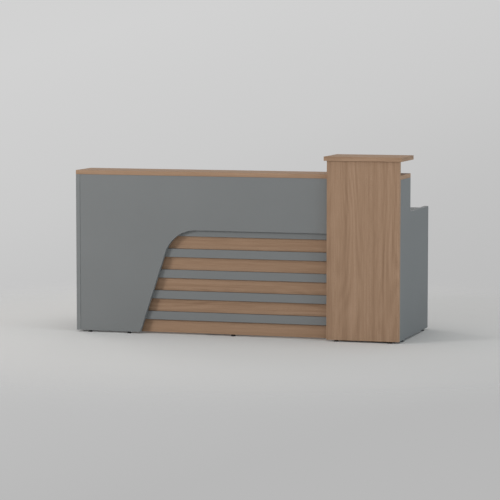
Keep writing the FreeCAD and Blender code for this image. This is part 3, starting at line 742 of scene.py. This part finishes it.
def solid_boxes(node):
    """The low and high corner of each separate solid of a node."""
    shape = whole_faces(node)
    left = set(shape.verts)
    boxes = []
    while left:
        reached = [left.pop()]
        island = []
        while reached:
            corner = reached.pop()
            island.append(corner.co)
            for edge in corner.link_edges:
                other = edge.other_vert(corner)
                if other in left:
                    left.remove(other)
                    reached.append(other)
        boxes.append([Vector([least(spot[axis] for spot in island) for axis in range(3)])
                      for least in (min, max)])
    shape.free()
    return sorted(boxes, key=lambda box: tuple(box[0]))


def grow(tree, name, spots, body_node, inputs):
    """Runs a tree on points that each face a way, and keeps its result as a plain mesh."""
    mesh = bpy.data.meshes.new(name)
    mesh.from_pydata([spot for spot, way in spots], [], [])
    ways = mesh.attributes.new("way", "FLOAT_VECTOR", "POINT")
    for i, (spot, way) in enumerate(spots):
        ways.data[i].vector = way
    piece = bpy.data.objects.new(name, mesh)
    bpy.context.scene.collection.objects.link(piece)
    modifier = piece.modifiers.new("grow", "NODES")
    modifier.node_group = tree
    for socket in tree.interface.items_tree:
        if socket.in_out == "INPUT" and socket.name in inputs:
            modifier[socket.identifier] = inputs[socket.name]
    depsgraph = bpy.context.evaluated_depsgraph_get()
    grown = bpy.data.meshes.new_from_object(piece.evaluated_get(depsgraph))
    piece.modifiers.remove(modifier)
    piece.data = grown
    grown.shade_smooth()
    grown.set_sharp_from_angle(angle=HEAD_SMOOTH_BELOW)
    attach(piece, NODES[body_node]["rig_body"])


def add_screws(name, spots, body_node, across=SCREW_ACROSS, high=SCREW_HIGH):
    grow(screw_tree, name, spots, body_node, {
        "Across": across, "High": high, "Seed": SCREW_SEED, "Finish": zinc_steel})


rounded_part("corner_brackets", "corner_brackets_pressed", zinc_steel, SHEET_RADIUS)
screw_tree = make_head_tree(
    "pan_head_screws", SCREW_SIDES, SCREW_RINGS, SCREW_ROUNDING, recessed=True)
bracket_screws = []
for low, high in solid_boxes("corner_brackets"):
    out = 0 if high.x - low.x > high.y - low.y else 1
    middle = (low + high) / 2
    level = middle.copy()
    level[out] = low[out] + BRACKET_HOLE_PLACE
    level.z = high.z - BRACKET_SHEET
    bracket_screws.append((level, (0, 0, -1)))
    upright = middle.copy()
    upright[out] = low[out] + BRACKET_SHEET
    upright.z = high.z - BRACKET_HOLE_PLACE
    bracket_screws.append((upright, (1 - out, out, 0)))
add_screws("bracket_screws", bracket_screws, "corner_brackets")


# Runner screws
# Pan heads in the slides, which the hollow between the members leaves room for, and flat ones
# in the rails. Each member has three, driven sideways through its web.
RUNNER_WEB = 0.0012
RUNNER_SCREW_SHARES = (0.08, 0.5, 0.92)
RUNNER_SCREW_ACROSS = 0.0075
RUNNER_SCREW_HIGH = 0.002
RAIL_SCREW_HIGH = 0.0002


def web_screws(node, towards_drawer):
    """Places in the web of each member of a node, which face into its open side."""
    middle_x = sum(corner.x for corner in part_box("pedestal_bottom")) / 2
    spots = []
    for low, high in solid_boxes(node):
        left_hand = low.x < middle_x
        way = 1 if left_hand == towards_drawer else -1
        x = low.x + RUNNER_WEB if way > 0 else high.x - RUNNER_WEB
        for share in RUNNER_SCREW_SHARES:
            y = low.y + (high.y - low.y) * share
            spots.append(((x, y, (low.z + high.z) / 2), (way, 0, 0)))
    return spots


add_screws("rail_screws", web_screws("runner_rails", towards_drawer=True), "runner_rails",
           RUNNER_SCREW_ACROSS, RAIL_SCREW_HIGH)
for number in DRAWER_NUMBERS:
    node = "runner_slides_%d" % number
    add_screws("slide_screws_%d" % number, web_screws(node, towards_drawer=False), node,
               RUNNER_SCREW_ACROSS, RUNNER_SCREW_HIGH)


# Drawer boxes
# Two sides and two ends of 12 mm board with a plain pale face, doweled and glued, and a thin
# faced hardboard base. The top edges are banded.
PALE_TONE = tone(222, 221, 217)
PALE_DARK_TONE = tone(212, 211, 206)
HARDBOARD_TONE = tone(214, 210, 201)
HARDBOARD_DARK_TONE = tone(200, 195, 185)
PALE_CLOUD_SCALE = 5
PALE_FIBRE_SCALE = (700, 280, 700)
HARDBOARD_FIBRE_SCALE = (320, 128, 320)
PALE_ROUGHNESS = 0.5
PALE_RELIEF = 0.00006
BOX_EDGE_RADIUS = 0.0008
BOX_EDGE_BAND = 0.001


def make_pale_board(name, light, dark, fibre_scale):
    """A pale printed or lacquered face with a faint fibre texture."""
    material, graph = new_material(name)
    place = graph.add("ShaderNodeTexCoord", output="Object")
    clouds = graph.noise(place, PALE_CLOUD_SCALE, detail=3)
    fibre = graph.noise(place, fibre_scale, detail=3)
    close_material(graph, {
        "Base Color": graph.mix(clouds * 0.5 + fibre * 0.5, dark, light),
        "Roughness": PALE_ROUGHNESS + (fibre - 0.5) * 0.25,
        "Normal": graph.bump(fibre, PALE_RELIEF),
    })
    return material


drawer_board = make_pale_board("drawer_board", PALE_TONE, PALE_DARK_TONE, PALE_FIBRE_SCALE)
hardboard = make_pale_board(
    "hardboard", HARDBOARD_TONE, HARDBOARD_DARK_TONE, HARDBOARD_FIBRE_SCALE)
for number in DRAWER_NUMBERS:
    faced_board("drawer_%d_sides" % number, "x", drawer_board,
                radius=BOX_EDGE_RADIUS, band=BOX_EDGE_BAND)
    faced_board("drawer_%d_ends" % number, "y", drawer_board,
                radius=BOX_EDGE_RADIUS, band=BOX_EDGE_BAND)
    base = "drawer_%d_base" % number
    rounded_part(base, base + "_sheet", hardboard, SHEET_RADIUS)


# Drawer fronts
# Three grey fronts of 18 mm board, two shallow over one deep for hanging files, screwed to
# the boxes from inside. The top one is bored for the lock.
for number in DRAWER_NUMBERS:
    faced_board("drawer_front_%d" % number, "y", grey_melamine)


# Front screws
# Four pan heads on the inner face of each box's front end, driven into the drawer front, and
# above them two machine screws that hold the handle.
FRONT_SCREW_FROM_SIDE = 0.045
FRONT_SCREW_FROM_EDGE = 0.016
HANDLE_SPAN = 0.128
HANDLE_SCREW_ACROSS = 0.008
HANDLE_SCREW_HIGH = 0.002

for number in DRAWER_NUMBERS:
    ends = solid_boxes("drawer_%d_ends" % number)
    low, high = max(ends, key=lambda box: box[0].y)
    base_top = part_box("drawer_%d_base" % number)[1].z
    spots = [((x, low.y, z), (0, -1, 0))
             for x in (low.x + FRONT_SCREW_FROM_SIDE, high.x - FRONT_SCREW_FROM_SIDE)
             for z in (base_top + FRONT_SCREW_FROM_EDGE, high.z - FRONT_SCREW_FROM_EDGE)]
    add_screws("front_screws_%d" % number, spots, "drawer_%d_ends" % number)
    front_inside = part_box("drawer_front_%d" % number)[0].y
    bar_low, bar_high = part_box("handle_%d" % number)
    bar_middle = (bar_low + bar_high) / 2
    spots = [((bar_middle.x + shift, front_inside, bar_middle.z), (0, -1, 0))
             for shift in (-HANDLE_SPAN / 2, HANDLE_SPAN / 2)]
    add_screws("handle_screws_%d" % number, spots, "drawer_front_%d" % number,
               HANDLE_SCREW_ACROSS, HANDLE_SCREW_HIGH)


# Drawer handles
# Round bars on two posts, screwed from inside each front. They are nickel-plated steel,
# brushed along the bar.
NICKEL_TONE = tone(203, 200, 194)
NICKEL_DARK_TONE = tone(186, 183, 177)
NICKEL_BRUSHED_SCALE = (25, 1900, 1900)
NICKEL_TOUCH_SCALE = 45
NICKEL_ROUGHNESS = 0.3
NICKEL_RELIEF = 0.00003
HANDLE_EDGE_RADIUS = 0.0008


def make_brushed_nickel():
    material, graph = new_material("brushed_nickel")
    place = graph.add("ShaderNodeTexCoord", output="Object")
    brushed = graph.noise(place, NICKEL_BRUSHED_SCALE, detail=3, roughness=0.6)
    touches = graph.noise(place, NICKEL_TOUCH_SCALE, detail=3)
    close_material(graph, {
        "Base Color": graph.mix(brushed, NICKEL_DARK_TONE, NICKEL_TONE),
        "Metallic": 1.0,
        "Roughness": NICKEL_ROUGHNESS + (brushed - 0.5) * 0.25 + (touches - 0.5) * 0.12,
        "Normal": graph.bump(brushed, NICKEL_RELIEF),
    })
    return material


brushed_nickel = make_brushed_nickel()
for number in DRAWER_NUMBERS:
    node = "handle_%d" % number
    rounded_part(node, node + "_brushed", brushed_nickel, HANDLE_EDGE_RADIUS)


# Drawer lock
# A rimmed body in the top front with a slotted barrel, in polished chrome, and a zinc-plated
# cam that turns up behind a bent steel strike under the carcass top.
CHROME_TONE = tone(218, 219, 221)
CHROME_SMEAR_SCALE = 160
CHROME_SCRATCH_SCALE = (2500, 900, 300)
CHROME_ROUGHNESS = 0.12
CHROME_RELIEF = 0.00001
LOCK_EDGE_RADIUS = 0.0003


def make_polished_chrome():
    material, graph = new_material("polished_chrome")
    place = graph.add("ShaderNodeTexCoord", output="Object")
    smears = graph.noise(place, CHROME_SMEAR_SCALE, detail=4, roughness=0.6)
    scratches = graph.noise(place, CHROME_SCRATCH_SCALE)
    close_material(graph, {
        "Base Color": CHROME_TONE,
        "Metallic": 1.0,
        "Roughness": CHROME_ROUGHNESS + smears * 0.1,
        "Normal": graph.bump(scratches, CHROME_RELIEF),
    })
    return material


polished_chrome = make_polished_chrome()
for node in ("lock_body", "lock_barrel"):
    rounded_part(node, node + "_polished", polished_chrome, LOCK_EDGE_RADIUS)
for node in ("lock_cam", "lock_strike"):
    rounded_part(node, node + "_plated", zinc_steel, LOCK_EDGE_RADIUS)


# Lock screws
# One small screw holds the cam on the barrel's inner end, and two hold the strike under the
# carcass top.
CAM_SCREW_ACROSS = 0.007
CAM_SCREW_HIGH = 0.0018
STRIKE_SHEET = 0.0015
STRIKE_SCREW_ACROSS = 0.006
STRIKE_SCREW_HIGH = 0.0012
STRIKE_SCREW_SHARES = (0.2, 0.8)
STRIKE_SCREW_FROM_REAR = 0.009

barrel_low, barrel_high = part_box("lock_barrel")
barrel_middle = (barrel_low + barrel_high) / 2
cam_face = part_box("lock_cam")[0].y
add_screws("cam_screw", [((barrel_middle.x, cam_face, barrel_middle.z), (0, -1, 0))],
           "lock_cam", CAM_SCREW_ACROSS, CAM_SCREW_HIGH)
strike_low, strike_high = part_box("lock_strike")
strike_wide = strike_high.x - strike_low.x
strike_y = strike_low.y + STRIKE_SCREW_FROM_REAR
strike_under = strike_high.z - STRIKE_SHEET
spots = [((strike_low.x + strike_wide * share, strike_y, strike_under), (0, 0, -1))
         for share in STRIKE_SCREW_SHARES]
add_screws("strike_screws", spots, "lock_strike", STRIKE_SCREW_ACROSS, STRIKE_SCREW_HIGH)


# Backing screws
# Flat heads on the staff side of the backing, one row behind each slat.
BACKING_SCREW_SHARES = (0.05, 0.275, 0.5, 0.725, 0.95)
BACKING_SCREW_ACROSS = 0.008
BACKING_SCREW_HIGH = 0.0004

backing_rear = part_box("grille_backing")[1].y
spots = []
for number in range(1, SLAT_COUNT + 1):
    slat_low, slat_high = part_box("grille_slat_%d" % number)
    for share in BACKING_SCREW_SHARES:
        x = slat_low.x + (slat_high.x - slat_low.x) * share
        spots.append(((x, backing_rear, (slat_low.z + slat_high.z) / 2), (0, 1, 0)))
add_screws("backing_screws", spots, "grille_backing", BACKING_SCREW_ACROSS,
           BACKING_SCREW_HIGH)


# Connector covers
# Thin round plastic caps pressed over the cam connectors that draw the counter and the front
# panel against the gables. They sit on the faces that the staff side shows.
COVER_SIDES = 32
COVER_RINGS = 4
COVER_ROUNDING = 0.5
COVER_ACROSS = 0.017
COVER_HIGH = 0.0012
COVER_FROM_GABLE = 0.034
COVER_TONE = tone(136, 138, 138)
COVER_DARK_TONE = tone(128, 130, 130)
COVER_TEXTURE_SCALE = 1800
COVER_ROUGHNESS = 0.45
COVER_RELIEF = 0.00004
PANEL_COVER_HEIGHTS = (0.12, 0.4, 0.64, 0.85)
COUNTER_COVER_DEPTHS = (0.07, 0.2)


def make_cover_plastic():
    material, graph = new_material("cover_plastic")
    place = graph.add("ShaderNodeTexCoord", output="Object")
    texture = graph.noise(place, COVER_TEXTURE_SCALE, roughness=0.6)
    close_material(graph, {
        "Base Color": graph.mix(texture, COVER_DARK_TONE, COVER_TONE),
        "Roughness": COVER_ROUGHNESS + (texture - 0.5) * 0.2,
        "Normal": graph.bump(texture, COVER_RELIEF),
    })
    return material


cover_tree = make_head_tree(
    "connector_covers", COVER_SIDES, COVER_RINGS, COVER_ROUNDING, recessed=False)
cover_inputs = {"Across": COVER_ACROSS, "High": COVER_HIGH, "Finish": make_cover_plastic()}
gable_faces = (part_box("left_end_panel")[1].x + COVER_FROM_GABLE,
               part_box("right_end_panel")[0].x - COVER_FROM_GABLE)
panel_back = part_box("front_panel")[1].y
counter_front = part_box("counter_board")[0].y
counter_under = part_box("counter_board")[0].z
spots = [((x, panel_back, z), (0, 1, 0)) for x in gable_faces for z in PANEL_COVER_HEIGHTS]
grow(cover_tree, "panel_covers", spots, "front_panel", cover_inputs)
spots = [((x, counter_front + depth, counter_under), (0, 0, -1))
         for x in gable_faces for depth in COUNTER_COVER_DEPTHS]
grow(cover_tree, "counter_covers", spots, "counter_board", cover_inputs)
